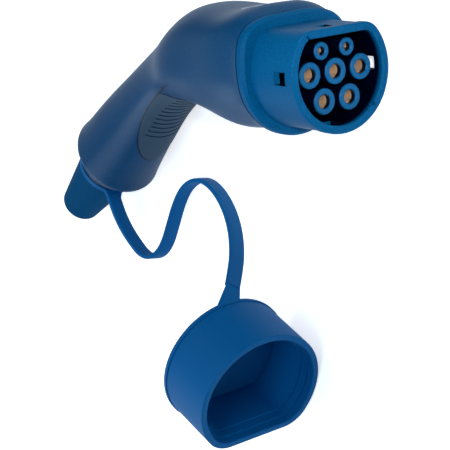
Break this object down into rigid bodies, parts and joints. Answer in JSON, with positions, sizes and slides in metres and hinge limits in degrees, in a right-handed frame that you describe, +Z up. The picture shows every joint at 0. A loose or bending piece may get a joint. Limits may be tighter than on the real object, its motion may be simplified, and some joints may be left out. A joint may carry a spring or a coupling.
{
  "type": "ev charging connector",
  "caption": "Handheld vehicle charging connector: curved blue handle, D shaped nose with recessed brass sockets, bend boot, and a sealing cap on a moulded strap.",
  "frame": {"origin": "mouth of the earth contact's sleeve, on the nose axis", "axes": "+X along the nose axis, forwards out of the mouth; +Z up from the floor it lies on; +Y to the flat side of the nose, which is rolled 8.4 degrees about X"},
  "size_m": [0.2353, 0.2119, 0.067],
  "materials": {
    "nose": "satin",
    "shell": "satin, fine grain",
    "tether": "soft satin",
    "boot": "soft satin",
    "gland": "satin",
    "pad": "matte",
    "label": "matte",
    "seal": "matte",
    "inner": "matte",
    "contact": "satin",
    "steel": "satin",
    "resistor": "gloss"
  },
  "bodies": {
    "connector": {"nose_housing": "nose", "contact_carrier": "nose", "nose_seal": "seal", "earth_contact": "contact", "neutral_contact": "contact", "line_1_contact": "contact", "line_2_contact": "contact", "line_3_contact": "contact", "proximity_contact": "contact", "pilot_contact": "contact", "power_contact_springs": "steel", "signal_contact_springs": "steel", "contact_retainer": "inner", "retainer_screws": "steel", "coding_resistor": "resistor", "handle_shell": "shell", "label_plate": "label", "grip_pad": "pad", "gland_body": "gland", "gland_nut": "inner", "gland_seal": "seal", "cable_clamp": "inner", "clamp_screws": "steel", "boot": "boot"},
    "cap_tether": {"tether_ring": "tether", "cap_strap": "tether", "cap": "tether"}
  },
  "joints": [
    {"name": "cap_swivel", "type": "hinge", "parent": "connector", "child": "cap_tether", "pos_m": [-0.19499, -0.06514, -0.00962], "axis": [-0.788, -0.6091, -0.0899], "continuous": true}
  ]
}
